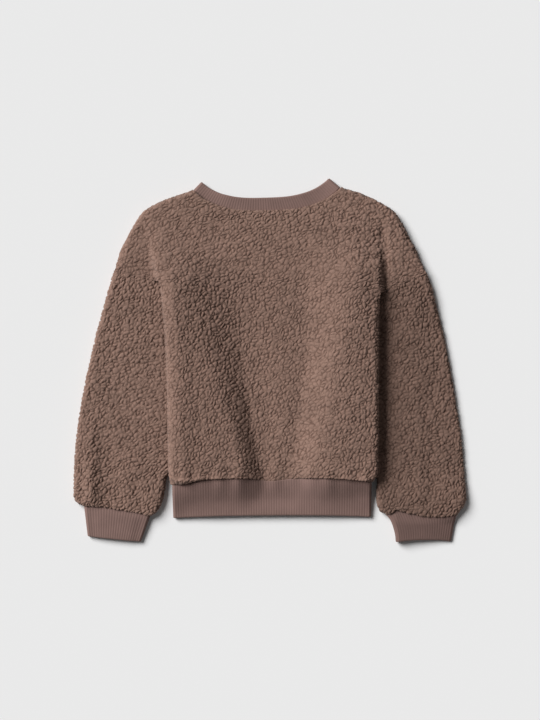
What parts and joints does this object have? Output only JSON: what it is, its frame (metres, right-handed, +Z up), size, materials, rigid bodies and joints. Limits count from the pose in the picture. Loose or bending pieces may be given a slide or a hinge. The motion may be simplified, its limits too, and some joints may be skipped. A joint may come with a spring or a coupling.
{
  "type": "sherpa fleece pullover",
  "caption": "Child's sherpa fleece pullover laid flat with its back up, drop shoulders, full sleeves brought down beside the body, rib bands at neck, cuffs and hem.",
  "frame": {"origin": "middle of the garment's outline, on the surface that it lies on", "axes": "+Z up from the surface, through the front panel to the back panel; +Y from the hem to the neck; +X towards the sleeve on the right as it lies"},
  "size_m": [0.4981, 0.4619, 0.0334],
  "materials": {
    "sherpa_fleece": "short curled pile, matt, taupe brown",
    "rib_knit": "fine vertical rib knit, matt, taupe brown"
  },
  "bodies": {
    "root": {"back_panel": "sherpa_fleece", "front_panel": "sherpa_fleece", "sleeve_left": "sherpa_fleece", "sleeve_right": "sherpa_fleece", "neck_rib": "rib_knit", "hem_rib": "rib_knit", "cuff_left": "rib_knit", "cuff_right": "rib_knit"}
  },
  "joints": []
}
